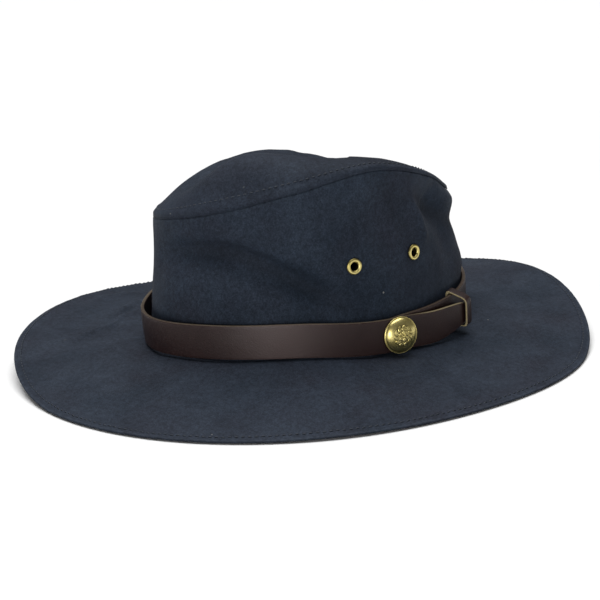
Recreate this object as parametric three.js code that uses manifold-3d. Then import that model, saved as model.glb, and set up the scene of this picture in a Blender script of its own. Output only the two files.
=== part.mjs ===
// Bush hat: a soft cloth crown and brim, a leather strap with a keeper and a domed button,
// and four brass eyelets. Millimetres, +Z up. The brim rests on z = 0, the front is -Y and
// the wearer's right is -X.
import * as THREE from 'three';
import { mergeVertices } from 'three/addons/utils/BufferGeometryUtils.js';
import Module from 'manifold-3d';

const wasm = await Module();
wasm.setup();

// Cloth crown
const headLength = 202;          // outside of the crown at its foot, front to back
const headWidth = 169;
const crownHeight = 112;         // from the foot's datum to the crown's highest ridge
const footHeight = 20;           // datum of the crown's foot above the surface it rests on
const lengthTaper = 13;          // how much smaller the crown is at the seam round its top
const widthTaper = 12;
const crownTuck = 2;             // most that the crown is drawn in from its oval
const clothThickness = 1.9;
const foldDepth = 6;             // deepest fold pushed into the wall
const foldSpread = 10;           // half width of such a fold
const creaseDepth = 8;           // hollow along the middle of the top
const creaseSpread = 18;
const creaseLength = 138;

// Cloth brim
const brimWidth = 80.6;
const brimThickness = 2.8;
const rimLift = 16;              // how far the brim's edge curls up off the surface
const brimDroop = 1.1;           // 1 is a straight slope, more keeps the brim level for longer

// Leather strap
const strapWidth = 20;
const strapThickness = 2.2;
const strapLift = 3;             // highest place of its lower edge over the crown's foot
const strapStandOff = 3.4;       // widest gap between the strap and the crown's foot
const tailBow = 4.8;             // how far the strap's tail bows off the layer under it
const tailSag = 2.5;             // how far it hangs below that layer
const tailEnd = 30;              // length over which the tail narrows to its rounded tip
const tailTip = 0.35;            // width where it is cut off, in strapWidth
const keeperWidth = 7;
const keeperThickness = 1.3;
const keeperSlack = 1.1;         // play of the strap's faces in its keeper
const keeperPlay = 1.2;          // play of its edges
const keeperCorner = 0.24;       // 1 is a round loop and 0 a square one
const keeperTaper = 0.12;        // how much lower its outer side is, for the narrow tail

// Brass
const buttonDiameter = 21.5;
const buttonRise = 4.6;          // height of the dome over its back
const buttonRim = 1;
const buttonNeck = 1.9;          // height of its back over the strap, room for its turn
const buttonTurn = 9;            // degrees that it faces further back than the strap there
const buttonNod = 4;             // degrees that it faces up
const domeShare = 0.93;          // foot of the dome, in buttonDiameter
const postDiameter = 4;
const postHeadDiameter = 8;
const postHeadThickness = 0.6;
const eyeletDiameter = 10.6;
const eyeletHole = 5;
const eyeletWall = 0.5;
const eyeletSeat = 0.45;         // between a flat flange and the cloth, which curves under it
const eyeletRise = 0.75;         // height of a flange
const eyeletHeight = 49;         // centre over the foot's datum
const eyeletSpacing = 44;
const eyeletShift = -4.3;        // middle of a pair, ahead of the widest point of the crown

const gap = 0.3;                 // clearance between neighbouring pieces

// Places round the hat, in degrees from the wearer's left (+X) by way of the back (+Y)
const buttonAngle = 182.6;
const keeperAngle = 214;
const tailAngle = 218;
const strapLead = 8;             // from the strap's hidden end to the button
const overlapLead = 40;          // from where the outer layer starts to lift to the button
const overlapRise = 28;          // over which it lifts
const bowLead = 3;               // from the button to where the tail starts to bow
const sagTurn = 18;              // from the button to where it has sagged

// Finishes
const finishes = {
  cloth: { color: 0x30394a, roughness: 0.85, metalness: 0 },
  leather: { color: 0x3a2e2c, roughness: 0.5, metalness: 0 },
  brass: { color: 0xb39b48, roughness: 0.3, metalness: 1 },
};

// Round the hat every 30 degrees. foot: top of the brim at the crown's foot, in footHeight.
// rim: underside of the brim's edge, in rimLift; below nothing it is pressed flat. wide: what
// the brim is wider there, in brimWidth. tuck: how far the crown is drawn in, in crownTuck.
// seam, shoulder and middle: the top's underside at its edge, at shoulderShare and at
// middleShare of the way out, in crownHeight over the datum.
const CLOTH = [
  { angle: 0, foot: 0.645, rim: 0.3, wide: 0, tuck: 0, seam: 0.696, shoulder: 0.777, middle: 0.812 },
  { angle: 30, foot: 0.795, rim: 0.82, wide: 0, tuck: 0.5, seam: 0.616, shoulder: 0.735, middle: 0.834 },
  { angle: 60, foot: 0.82, rim: 0.74, wide: 0, tuck: 1, seam: 0.625, shoulder: 0.77, middle: 0.858 },
  { angle: 90, foot: 0.795, rim: 0.05, wide: 0, tuck: 0.2, seam: 0.674, shoulder: 0.852, middle: 0.88 },
  { angle: 120, foot: 0.895, rim: -0.1, wide: 0, tuck: 0, seam: 0.746, shoulder: 0.964, middle: 0.92 },
  { angle: 150, foot: 0.92, rim: 0.02, wide: 0, tuck: 0, seam: 0.839, shoulder: 0.978, middle: 0.911 },
  { angle: 180, foot: 0.745, rim: -0.02, wide: 0, tuck: 0, seam: 0.906, shoulder: 0.933, middle: 0.866 },
  { angle: 210, foot: 0.69, rim: -0.06, wide: 0.046, tuck: 0, seam: 0.799, shoulder: 0.844, middle: 0.839 },
  { angle: 240, foot: 0.76, rim: 0.58, wide: -0.034, tuck: 0, seam: 0.634, shoulder: 0.728, middle: 0.79 },
  { angle: 270, foot: 0.9, rim: 0.92, wide: 0, tuck: 0, seam: 0.643, shoulder: 0.705, middle: 0.75 },
  { angle: 300, foot: 0.85, rim: 0.4, wide: 0, tuck: 0, seam: 0.661, shoulder: 0.714, middle: 0.768 },
  { angle: 330, foot: 0.7, rim: -0.09, wide: 0, tuck: 0, seam: 0.688, shoulder: 0.75, middle: 0.786 },
];

// off and lift: the strap's distance from the foot, in strapStandOff, and its height over it,
// in strapLift.
const STRAP = [
  { angle: 0, off: 0.24, lift: 1 },
  { angle: 30, off: 0.4, lift: 0.4 },
  { angle: 60, off: 0.62, lift: 0.15 },
  { angle: 90, off: 0.95, lift: 0.75 },
  { angle: 120, off: 0.55, lift: 0.9 },
  { angle: 150, off: 0.15, lift: 0.8 },
  { angle: 180, off: 0.13, lift: 0.5 },
  { angle: 210, off: 0.85, lift: 1 },
  { angle: 240, off: 0.75, lift: 1 },
  { angle: 270, off: 0.75, lift: 1 },
  { angle: 300, off: 0.35, lift: 1 },
  { angle: 330, off: 0.2, lift: 1 },
];
const AROUND = CLOTH.map((row, i) => ({ ...row, ...STRAP[i] }));

const centreShare = 0.821;       // height of the top's middle, under the crease
const shoulderShare = 0.78;
const middleShare = 0.4;
const edgeShare = 0.6;           // thickness of the top's cloth at its pressed edge
const steepest = 1.2;            // slope beyond which the top's cloth gets no thicker upright

// Soft folds and bulges of the wall, each a line through its rows. height is in crownHeight
// over the datum, spread in foldSpread and depth in foldDepth, inward.
const FOLDS = [
  { fold: 'long', angle: 88, height: 0.464, spread: 0.7, depth: 0.25 },
  { fold: 'long', angle: 104, height: 0.5, spread: 0.9, depth: 0.75 },
  { fold: 'long', angle: 124, height: 0.491, spread: 0.9, depth: 0.92 },
  { fold: 'long', angle: 142, height: 0.393, spread: 0.9, depth: 0.83 },
  { fold: 'long', angle: 158, height: 0.295, spread: 0.9, depth: 0.67 },
  { fold: 'long', angle: 174, height: 0.196, spread: 0.9, depth: 0.25 },
  { fold: 'belly', angle: 96, height: 0.286, spread: 1.4, depth: -0.17 },
  { fold: 'belly', angle: 118, height: 0.304, spread: 1.6, depth: -0.42 },
  { fold: 'belly', angle: 136, height: 0.232, spread: 1.3, depth: -0.25 },
  { fold: 'side', angle: 179, height: 0.839, spread: 0.9, depth: 0.08 },
  { fold: 'side', angle: 181, height: 0.696, spread: 1.1, depth: 0.5 },
  { fold: 'side', angle: 184, height: 0.482, spread: 1.2, depth: 0.25 },
  { fold: 'pinch', angle: 206, height: 0.714, spread: 1, depth: 0.33 },
  { fold: 'pinch', angle: 212, height: 0.643, spread: 1.1, depth: 1.17 },
  { fold: 'pinch', angle: 219, height: 0.5, spread: 1.1, depth: 0.83 },
  { fold: 'pinch', angle: 222, height: 0.339, spread: 1, depth: 0.17 },
  { fold: 'ridge', angle: 197, height: 0.679, spread: 0.5, depth: -0.17 },
  { fold: 'ridge', angle: 202, height: 0.518, spread: 0.6, depth: -0.33 },
  { fold: 'left_pinch', angle: 330, height: 0.643, spread: 1, depth: 0.33 },
  { fold: 'left_pinch', angle: 322, height: 0.571, spread: 1.2, depth: 1.17 },
  { fold: 'left_pinch', angle: 318, height: 0.357, spread: 1.2, depth: 0.33 },
  { fold: 'left_back', angle: 60, height: 0.446, spread: 1.4, depth: 0.5 },
  { fold: 'left_back', angle: 40, height: 0.375, spread: 1.4, depth: 0.17 },
  { fold: 'brow', angle: 237, height: 0.1, spread: 2.2, depth: -0.4 },
  { fold: 'brow', angle: 234, height: 0.5, spread: 2.2, depth: -0.4 },
  { fold: 'hip', angle: 227, height: 0.26, spread: 1.1, depth: -0.25 },
  { fold: 'hip', angle: 237, height: 0.25, spread: 1.1, depth: -0.45 },
  { fold: 'hip', angle: 250, height: 0.24, spread: 1.1, depth: -0.25 },
];
const foldFade = 0.25;           // of the wall's height, over which the folds die out at its foot

// Facets
const columns = 72;              // round each cloth piece
const wallLevels = [0, 0.06, 0.15, 0.25, 0.35, 0.45, 0.55, 0.65, 0.75, 0.85, 0.93, 1];
const tipLevels = [1, 0.975, 0.9, 0.8, 0.68, 0.54, 0.38, 0.2];
const brimLevels = [0, 0.14, 0.3, 0.46, 0.62, 0.78, 0.9, 0.96, 1];
const tailStations = [0.95, 0.75, 0.55, 0.38, 0.24, 0.12, 0.04, 0];
const strapStep = 4;             // degrees between sections of the strap
const domeSteps = 6;
const buttonSides = 20;
const eyeletSides = 14;
const keeperSides = 24;
const cutterSides = 16;
const cutterLength = 24;
const nearby = 0.04;             // step for reading a slope off a surface, in its own shares
const nearbyAngle = 3;           // the same in degrees
const weld = 1e-4;               // points closer than this are one

const radians = THREE.MathUtils.degToRad;
const clamp = THREE.MathUtils.clamp;
const smooth = (value) => THREE.MathUtils.smoothstep(value, 0, 1);

// A value of these tables at any angle, on a smooth closed curve through its rows
function around(angle, column) {
  const place = ((((angle % 360) + 360) % 360) / 360) * AROUND.length;
  const row = Math.floor(place);
  const part = place - row;
  const [a, b, c, d] = [-1, 0, 1, 2].map(
    (step) => AROUND[(row + step + AROUND.length) % AROUND.length][column],
  );
  const cubic = 3 * (b - c) + d - a;
  return b + 0.5 * part * (c - a + part * (2 * a - 5 * b + 4 * c - d + part * cubic));
}

// A point on an upright oval of the given length and width, and its outward direction
function oval(angle, length, width) {
  const cos = Math.cos(radians(angle));
  const sin = Math.sin(radians(angle));
  const out = new THREE.Vector2((cos * length) / 2, (sin * width) / 2).normalize();
  return { x: (cos * width) / 2, y: (sin * length) / 2, out };
}

const tuckAt = (angle) => crownTuck * around(angle, 'tuck');
const footAt = (angle) => footHeight * around(angle, 'foot');
const overDatum = (share) => footHeight + crownHeight * share;

// How far the folds push a spot of the wall inward
const foldNames = [...new Set(FOLDS.map((row) => row.fold))];
function foldPush(angle, z) {
  const at = oval(angle, headLength, headWidth);
  const spot = new THREE.Vector3(at.x, at.y, z);
  const nearest = new THREE.Vector3();
  let push = 0;
  for (const name of foldNames) {
    const rows = FOLDS.filter((row) => row.fold === name);
    const places = rows.map((row) => {
      const place = oval(row.angle, headLength, headWidth);
      return new THREE.Vector3(place.x, place.y, overDatum(row.height));
    });
    let deepest = 0;
    for (let i = 0; i + 1 < rows.length; i += 1) {
      const line = new THREE.Line3(places[i], places[i + 1]);
      const along = line.closestPointToPointParameter(spot, true);
      line.at(along, nearest);
      const spread = foldSpread * THREE.MathUtils.lerp(rows[i].spread, rows[i + 1].spread, along);
      const depth = foldDepth * THREE.MathUtils.lerp(rows[i].depth, rows[i + 1].depth, along);
      const here = depth * Math.exp(-nearest.distanceToSquared(spot) / spread ** 2);
      if (Math.abs(here) > Math.abs(deepest)) deepest = here;
    }
    push += deepest;
  }
  return push;
}

// Outside of the crown's wall: level 0 is the foot and 1 the seam round the top
function wallPoint(angle, level) {
  const z = THREE.MathUtils.lerp(footAt(angle), overDatum(around(angle, 'seam')), level);
  const at = oval(angle, headLength - lengthTaper * level, headWidth - widthTaper * level);
  const push = tuckAt(angle) + foldPush(angle, z) * smooth(level / foldFade);
  return new THREE.Vector3(at.x - push * at.out.x, at.y - push * at.out.y, z);
}

// Underside of the top: reach 1 is its edge and 0 its middle
const reaches = [0, middleShare ** 2, shoulderShare ** 2, 1];
function tipPoint(angle, reach) {
  const edge = wallPoint(angle, 1);
  const shares = [
    centreShare,
    around(angle, 'middle'),
    around(angle, 'shoulder'),
    around(angle, 'seam'),
  ];
  const x = edge.x * reach;
  const y = edge.y * reach;
  let share = 0;
  for (let i = 0; i < reaches.length; i += 1) {
    let weight = 1;
    for (let j = 0; j < reaches.length; j += 1) {
      if (j !== i) weight *= (reach ** 2 - reaches[j]) / (reaches[i] - reaches[j]);
    }
    share += weight * shares[i];
  }
  const past = Math.max(Math.abs(y) - creaseLength / 2, 0);
  const crease = creaseDepth * Math.exp(-(x ** 2 + past ** 2) / creaseSpread ** 2);
  return new THREE.Vector3(x, y, overDatum(share) - crease * (1 - reach ** 6) + gap);
}

// Underside of the brim: level 0 is at the crown and 1 the edge
function brimPoint(angle, level) {
  const foot = footAt(angle) - brimThickness;
  const z = THREE.MathUtils.lerp(foot, rimLift * around(angle, 'rim'), level ** brimDroop);
  const width = brimWidth * (1 + around(angle, 'wide'));
  const inner = gap - tuckAt(angle);
  const reach = 2 * (inner + (width - inner) * level);
  const at = oval(angle, headLength + reach, headWidth + reach);
  return new THREE.Vector3(at.x, at.y, Math.max(z, 0));
}

// A closed ring of sections, every section a loop of the same number of points
function ringSolid(sections) {
  const count = sections[0].length;
  const positions = sections.flat().flatMap((point) => point.toArray());
  const index = [];
  for (let i = 0; i < sections.length; i += 1) {
    const next = (i + 1) % sections.length;
    for (let j = 0; j < count; j += 1) {
      const k = (j + 1) % count;
      index.push(i * count + j, next * count + j, next * count + k);
      index.push(i * count + j, next * count + k, i * count + k);
    }
  }
  return indexed(positions, index);
}

function indexed(positions, index) {
  const geometry = new THREE.BufferGeometry();
  geometry.setAttribute('position', new THREE.Float32BufferAttribute(positions, 3));
  geometry.setIndex(index);
  return geometry;
}

const angles = Array.from({ length: columns }, (_, i) => (i * 360) / columns);

// The crown's wall, a band of cloth open at the top and at the foot
function crownSide() {
  const inside = (point, angle) => {
    const { out } = oval(angle, headLength, headWidth);
    return new THREE.Vector3(
      point.x - clothThickness * out.x,
      point.y - clothThickness * out.y,
      point.z,
    );
  };
  const sections = angles.map((angle) => {
    const outer = wallLevels.map((level) => wallPoint(angle, level));
    outer[0].z -= brimThickness;
    const inner = outer.map((point) => inside(point, angle));
    return [...outer, ...inner.reverse()];
  });
  let wall = solid(ringSolid(sections));
  for (const { place } of eyelets) {
    wall = wall.subtract(cutter(eyeletHole / 2 + eyeletWall + gap, place));
  }
  return geometryOf(wall);
}

// The top of the crown, one sheet with a crease along it, laid on the wall's upper edge
function crownTip() {
  const upper = (angle, reach) => {
    const point = tipPoint(angle, reach);
    const inner = tipPoint(angle, reach - nearby);
    const run = Math.hypot(point.x - inner.x, point.y - inner.y);
    const slope = clamp((inner.z - point.z) / run, -steepest, steepest);
    point.z += clothThickness * Math.hypot(1, slope) * (reach === 1 ? edgeShare : 1);
    return point;
  };
  const rows = tipLevels.length;
  const positions = [];
  for (const angle of angles) {
    for (const reach of tipLevels) positions.push(...upper(angle, reach).toArray());
    for (const reach of tipLevels) positions.push(...tipPoint(angle, reach).toArray());
  }
  const top = positions.length / 3;
  const middle = tipPoint(0, 0);
  positions.push(0, 0, middle.z + clothThickness, 0, 0, middle.z);
  const index = [];
  const quad = (a, b, c, d) => index.push(a, b, c, a, c, d);
  for (let i = 0; i < columns; i += 1) {
    const here = i * rows * 2;
    const next = ((i + 1) % columns) * rows * 2;
    for (let j = 0; j + 1 < rows; j += 1) {
      quad(here + j, next + j, next + j + 1, here + j + 1);
      quad(here + rows + j + 1, next + rows + j + 1, next + rows + j, here + rows + j);
    }
    quad(here + rows, next + rows, next, here);
    index.push(here + rows - 1, next + rows - 1, top);
    index.push(next + 2 * rows - 1, here + 2 * rows - 1, top + 1);
  }
  return indexed(positions, index);
}

// The brim, two layers of cloth stitched as one, with a rounded edge
function brim() {
  const sections = angles.map((angle) => {
    const under = brimLevels.map((level) => brimPoint(angle, level));
    const upper = under.map((point) => point.clone().setZ(point.z + brimThickness));
    const { out } = oval(angle, headLength + 2 * brimWidth, headWidth + 2 * brimWidth);
    const edge = under[under.length - 1].clone();
    edge.x += (out.x * brimThickness) / 3;
    edge.y += (out.y * brimThickness) / 3;
    edge.z += brimThickness / 2;
    return [...under, edge, ...upper.reverse()];
  });
  return ringSolid(sections);
}

// How far the strap's inner face is from the crown's foot, along the whole strap. turn counts
// from the button, and past a full turn the strap lies over its own start. It leaves room for
// the button's post head everywhere.
const strapEnd = 360 + tailAngle - buttonAngle;
const keeperTurn = keeperAngle - buttonAngle;
function strapOff(turn) {
  const room = postHeadThickness + 2 * gap;
  const off = Math.max(strapStandOff * around(buttonAngle + turn, 'off'), room);
  const over = (strapThickness + gap) * smooth((turn - 360 + overlapLead) / overlapRise);
  const bow = tailBow * smooth((turn - 360 - bowLead) / keeperTurn);
  return off + over + bow;
}

// Middle of the strap's width on its inner face, and its outward direction
function strapPoint(turn, out = 0) {
  const angle = buttonAngle + turn;
  const reach = 2 * (strapOff(turn) + out - tuckAt(angle));
  const at = oval(angle, headLength + reach, headWidth + reach);
  const lift = strapLift * around(angle, 'lift') - tailSag * smooth((turn - 360) / sagTurn);
  const z = footAt(angle) + lift + strapWidth / 2;
  return { point: new THREE.Vector3(at.x, at.y, z), out: at.out };
}

function hatStrap() {
  const reachPerDegree = (headWidth * Math.PI) / 360;
  const rounded = tailStations.map((share) => strapEnd - (share * tailEnd) / reachPerDegree);
  const stations = [];
  for (let turn = -strapLead; turn < rounded[0] - strapStep / 2; turn += strapStep) {
    stations.push(turn);
  }
  stations.push(...rounded);
  const positions = [];
  for (const turn of stations) {
    const inner = strapPoint(turn).point;
    const outer = strapPoint(turn, strapThickness).point;
    const left = clamp(((strapEnd - turn) * reachPerDegree) / tailEnd, 0, 1);
    const half = (strapWidth / 2) * (tailTip + (1 - tailTip) * Math.sqrt(1 - (1 - left) ** 2));
    for (const [face, side] of [[inner, -1], [outer, -1], [outer, 1], [inner, 1]]) {
      positions.push(face.x, face.y, face.z + side * half);
    }
  }
  const index = [];
  for (let i = 0; i + 1 < stations.length; i += 1) {
    for (let j = 0; j < 4; j += 1) {
      const k = (j + 1) % 4;
      const [here, next] = [i * 4, (i + 1) * 4];
      index.push(here + j, next + j, next + k, here + j, next + k, here + k);
    }
  }
  const last = (stations.length - 1) * 4;
  index.push(0, 1, 2, 0, 2, 3, last, last + 2, last + 1, last, last + 3, last + 2);
  const hole = cutter(postDiameter / 2 + gap, postPlace);
  return geometryOf(solid(indexed(positions, index)).subtract(hole));
}

// A round bar through a place, for cutting a hole there
function cutter(radius, place) {
  const bar = new THREE.CylinderGeometry(radius, radius, cutterLength, cutterSides);
  bar.rotateX(Math.PI / 2);
  bar.applyMatrix4(place);
  return solid(bar);
}

// A place on a surface: local Z is the outward direction, the origin is the point
function placeAt(point, out, up = new THREE.Vector3(0, 0, 1)) {
  const zAxis = out.clone().normalize();
  const xAxis = new THREE.Vector3().crossVectors(up, zAxis).normalize();
  const yAxis = new THREE.Vector3().crossVectors(zAxis, xAxis);
  return new THREE.Matrix4().makeBasis(xAxis, yAxis, zAxis).setPosition(point);
}

// The button sits on the outside of the strap's upper layer
const buttonSeat = strapPoint(360, strapThickness);
const buttonOut = new THREE.Vector3(buttonSeat.out.x, buttonSeat.out.y, 0);
const postPlace = placeAt(buttonSeat.point, buttonOut);
const buttonPlace = postPlace.clone();
buttonPlace.multiply(new THREE.Matrix4().makeRotationY(-radians(buttonTurn)));
buttonPlace.multiply(new THREE.Matrix4().makeRotationX(-radians(buttonNod)));

// A domed button and the post behind it, which goes straight through both layers of the strap
function button() {
  const under = strapPoint(0);
  const through = buttonSeat.point.distanceTo(under.point) + gap;
  const r = buttonDiameter / 2;
  const dome = [];
  for (let i = 0; i < domeSteps; i += 1) {
    const lift = (i / domeSteps) * (Math.PI / 2);
    const height = buttonRim + (buttonRise - buttonRim) * Math.sin(lift);
    dome.push([r * domeShare * Math.cos(lift), buttonNeck + height]);
  }
  const face = [
    [0, buttonNeck],
    [r, buttonNeck],
    [r, buttonNeck + buttonRim],
    ...dome,
    [0, buttonNeck + buttonRise],
  ];
  const post = [
    [0, -through - postHeadThickness],
    [postHeadDiameter / 2, -through - postHeadThickness],
    [postHeadDiameter / 2, -through],
    [postDiameter / 2, -through],
    [postDiameter / 2, buttonNeck + buttonRim],
    [0, buttonNeck + buttonRim],
  ];
  const shank = lathed(post, buttonSides, postPlace);
  return geometryOf(lathed(face, buttonSides, buttonPlace).add(shank));
}

// A ring-shaped eyelet: a barrel through the cloth with a rounded flange on each side
function eyelet(place) {
  const bore = eyeletHole / 2;
  const barrel = bore + eyeletWall;
  const flange = eyeletDiameter / 2;
  const backFlange = flange - eyeletWall;
  const front = eyeletSeat;
  const back = -clothThickness - eyeletSeat;
  const mid = (bore + flange) / 2;
  const profile = [
    [bore, back - eyeletRise / 2],
    [backFlange, back - eyeletRise / 2],
    [backFlange, back],
    [barrel, back],
    [barrel, front],
    [flange, front],
    [flange, front + eyeletRise / 3],
    [mid, front + eyeletRise],
    [bore, front + eyeletRise / 2],
  ];
  return geometryOf(lathed([...profile, profile[0]], eyeletSides, place));
}

// A solid of revolution about local Z, from a profile of radius and height
function lathed(profile, sides, place) {
  const points = profile.map(([radius, height]) => new THREE.Vector2(radius, height));
  const geometry = new THREE.LatheGeometry(points, sides);
  geometry.rotateX(Math.PI / 2);
  geometry.applyMatrix4(place);
  return solid(geometry);
}

// Places of the eyelets, on both sides of the crown
function eyeletPlaces() {
  const places = [];
  for (const [side, sign] of [['right', -1], ['left', 1]]) {
    for (const [end, half] of [['back', 1], ['front', -1]]) {
      const y = eyeletShift + (half * eyeletSpacing) / 2;
      const midLength = headLength - lengthTaper / 2;
      const lean = THREE.MathUtils.radToDeg(Math.asin((2 * y) / midLength));
      const angle = sign > 0 ? lean : 180 - lean;
      const seam = overDatum(around(angle, 'seam'));
      const level = (footHeight + eyeletHeight - footAt(angle)) / (seam - footAt(angle));
      const point = wallPoint(angle, level);
      const [onLeft, onRight] = [-1, 1].map((by) => wallPoint(angle + by * nearbyAngle, level));
      const [below, above] = [-1, 1].map((by) => wallPoint(angle, level + by * nearby));
      const out = new THREE.Vector3().crossVectors(onRight.sub(onLeft), above.sub(below));
      places.push({ name: `eyelet_${side}_${end}`, place: placeAt(point, out) });
    }
  }
  return places;
}
const eyelets = eyeletPlaces();

// A loop of leather round both layers of the strap, near the end of its tail
function strapKeeper() {
  const under = strapPoint(keeperTurn);
  const over = strapPoint(360 + keeperTurn, strapThickness);
  const out = new THREE.Vector3(under.out.x, under.out.y, 0);
  const depth = over.point.clone().sub(under.point).dot(out) + 2 * keeperSlack;
  const rise = strapWidth + 2 * keeperPlay;
  const tilt = (over.point.z - under.point.z) / depth;
  const middle = under.point.clone().addScaledVector(out, depth / 2 - keeperSlack);
  middle.z = (under.point.z + over.point.z) / 2;
  const rounded = (value) => Math.sign(value) * Math.abs(value) ** keeperCorner;
  const loop = (extra) => {
    const shape = [];
    for (let i = 0; i < keeperSides; i += 1) {
      const angle = (i / keeperSides) * 2 * Math.PI;
      const x = (depth / 2 + extra) * rounded(Math.cos(angle));
      const narrow = 1 - keeperTaper * (x / depth + 0.5);
      const y = narrow * (rise / 2 + extra) * rounded(Math.sin(angle));
      shape.push(new THREE.Vector2(x, y + tilt * x));
    }
    return shape;
  };
  const ring = new THREE.Shape(loop(keeperThickness));
  ring.holes.push(new THREE.Path(loop(0)));
  const geometry = new THREE.ExtrudeGeometry(ring, { depth: keeperWidth, bevelEnabled: false });
  geometry.translate(0, 0, -keeperWidth / 2);
  const before = strapPoint(keeperTurn - strapStep).point;
  const back = before.sub(strapPoint(keeperTurn + strapStep).point).normalize();
  const up = new THREE.Vector3().crossVectors(back, out).normalize();
  const sideways = new THREE.Vector3().crossVectors(up, back);
  const basis = new THREE.Matrix4().makeBasis(sideways, up, back);
  geometry.applyMatrix4(basis.setPosition(middle));
  return geometryOf(solid(geometry));
}

// A closed mesh as a solid for joining and cutting, and back
function solid(geometry) {
  const bare = geometry.clone();
  bare.deleteAttribute('normal');
  bare.deleteAttribute('uv');
  const merged = mergeVertices(bare, weld);
  return new wasm.Manifold(new wasm.Mesh({
    numProp: 3,
    vertProperties: new Float32Array(merged.attributes.position.array),
    triVerts: new Uint32Array(merged.index.array),
  }));
}

function geometryOf(body) {
  const mesh = body.getMesh();
  return indexed(Array.from(mesh.vertProperties), Array.from(mesh.triVerts));
}

const hat = new THREE.Group();
hat.name = 'bush_hat';

function add(name, finish, geometry) {
  geometry.computeVertexNormals();
  const mesh = new THREE.Mesh(geometry, new THREE.MeshStandardMaterial(finishes[finish]));
  mesh.name = name;
  hat.add(mesh);
}

add('brim', 'cloth', brim());
add('crown_side', 'cloth', crownSide());
add('crown_tip', 'cloth', crownTip());
add('hat_strap', 'leather', hatStrap());
add('strap_keeper', 'leather', strapKeeper());
add('button', 'brass', button());
for (const { name, place } of eyelets) add(name, 'brass', eyelet(place));

export default hat;
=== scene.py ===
import math

import bmesh
import bpy
import numpy as np
from mathutils import Matrix, Vector


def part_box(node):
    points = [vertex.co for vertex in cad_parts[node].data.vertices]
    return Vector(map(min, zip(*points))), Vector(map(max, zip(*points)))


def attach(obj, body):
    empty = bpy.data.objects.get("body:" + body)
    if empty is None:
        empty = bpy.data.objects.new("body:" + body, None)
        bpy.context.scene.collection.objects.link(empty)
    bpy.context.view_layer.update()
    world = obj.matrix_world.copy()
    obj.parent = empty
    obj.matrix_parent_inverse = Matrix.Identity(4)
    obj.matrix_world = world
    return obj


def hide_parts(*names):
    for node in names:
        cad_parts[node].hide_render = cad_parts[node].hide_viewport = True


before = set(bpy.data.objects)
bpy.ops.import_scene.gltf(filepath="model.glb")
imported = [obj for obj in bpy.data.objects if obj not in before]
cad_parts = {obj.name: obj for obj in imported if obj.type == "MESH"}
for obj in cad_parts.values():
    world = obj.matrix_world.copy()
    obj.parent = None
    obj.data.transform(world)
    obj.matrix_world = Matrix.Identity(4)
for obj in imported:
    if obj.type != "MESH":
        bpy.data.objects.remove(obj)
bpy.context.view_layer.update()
MM = 0.001

# Sizes of the hat
HEAD_LENGTH = 202.0
HEAD_WIDTH = 169.0
CROWN_HEIGHT = 112.0
FOOT_HEIGHT = 20.0
LENGTH_TAPER = 13.0
WIDTH_TAPER = 12.0
CROWN_TUCK = 2.0
CLOTH = 1.9
FOLD_DEPTH = 6.0
FOLD_SPREAD = 10.0
CREASE_DEPTH = 8.0
CREASE_SPREAD = 18.0
CREASE_LENGTH = 138.0
BRIM_WIDTH = 80.6
BRIM_THICKNESS = 2.8
RIM_LIFT = 16.0
BRIM_DROOP = 1.1
STRAP_WIDTH = 20.0
STRAP_THICKNESS = 2.2
STRAP_CORNER = 0.5
STRAP_WEAR = 1.6
STRAP_LIFT = 3.0
STRAP_STAND_OFF = 3.4
STRAP_LEAN = 1.0
STRAP_GATHER = 3.4
TAIL_BOW = 4.8
TAIL_SAG = 2.5
TAIL_END = 30.0
TAIL_TIP = 0.35
KEEPER_WIDTH = 7.0
KEEPER_THICKNESS = 1.3
KEEPER_SLACK = 1.1
KEEPER_PLAY = 1.2
KEEPER_CORNER = 0.3
KEEPER_EDGE = 0.4
KEEPER_TAPER = 0.14
BUTTON_DIAMETER = 21.5
BUTTON_RISE = 4.6
BUTTON_RIM = 1.0
BUTTON_NECK = 1.9
BUTTON_EDGE = 0.5
BUTTON_RELIEF = 0.34
BUTTON_TURN = 9.0
BUTTON_NOD = 4.0
EYELET_DIAMETER = 10.6
EYELET_HOLE = 5.0
EYELET_SEAT = 0.45
EYELET_RISE = 0.75
EYELET_TRIM = 0.55
EYELET_OPENING = 3.9
EYELET_REACH = 8.0
POST_HEAD_THICKNESS = 0.6
GAP = 0.3
SEAM_ROLL = 1.6
SEAM_FADE = 6.0
BRIM_FADE = 7.0
TIP_STITCH = 3.4
TIP_ROLL = 2.6
TIP_DROP = 1.5
BRIM_STITCH = 3.6
BRIM_THINNER = 0.75
FOOT_RISE = 1.5
BRIM_WRINKLE = 2.4
STITCH_PITCH = 3.6
STITCH_LENGTH = 2.7
THREAD_RADIUS = 0.27
STITCH_SINK = 0.34
WEAVE_PITCH = 0.62

# Places round the hat, in degrees from the wearer's left by way of the back
BUTTON_ANGLE = 182.6
KEEPER_ANGLE = 214.0
TAIL_ANGLE = 218.0
# Middle of the painted highlight on the strap's face
PAINTED_HIGHLIGHT_ANGLE = 143.0
# Middle of the painted shade on the top
PAINTED_SHADE_ANGLE = 185.0
WRINKLED_ANGLE = 58.0
STRAP_LEAD = 8.0
OVERLAP_LEAD = 40.0
OVERLAP_RISE = 28.0
BOW_LEAD = 3.0
SAG_TURN = 18.0
KEEPER_TURN = KEEPER_ANGLE - BUTTON_ANGLE
STRAP_END = 360 + TAIL_ANGLE - BUTTON_ANGLE

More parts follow.
